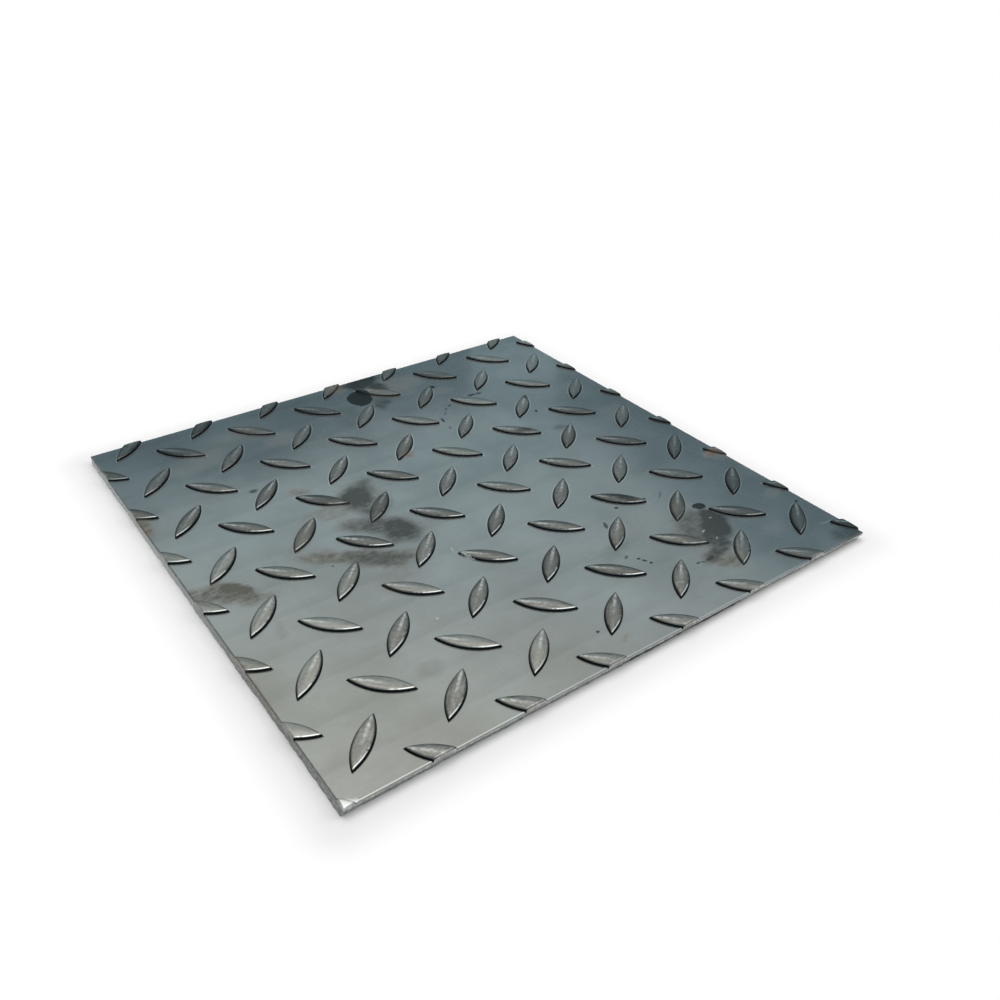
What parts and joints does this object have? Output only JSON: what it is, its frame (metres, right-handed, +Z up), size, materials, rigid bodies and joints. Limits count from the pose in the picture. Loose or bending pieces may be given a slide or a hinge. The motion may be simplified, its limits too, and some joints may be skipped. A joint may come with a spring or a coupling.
{
  "type": "checker steel plate",
  "caption": "Square offcut of rolled steel floor plate, flat underneath, with lens-shaped anti-slip lugs in alternating directions on top and sheared edges.",
  "frame": {"origin": "middle of the flat underside", "axes": "+Z up, out of the side with the lugs; +X and +Y along the two pairs of sheared edges"},
  "size_m": [0.3, 0.3, 0.006],
  "materials": {
    "mill_steel": "as-rolled mill scale, blue-grey and half glossy between the lugs, duller warm grey on the lugs, with a few dark stains and rust specks"
  },
  "bodies": {
    "root": {"checker_plate": "mill_steel"}
  },
  "joints": []
}
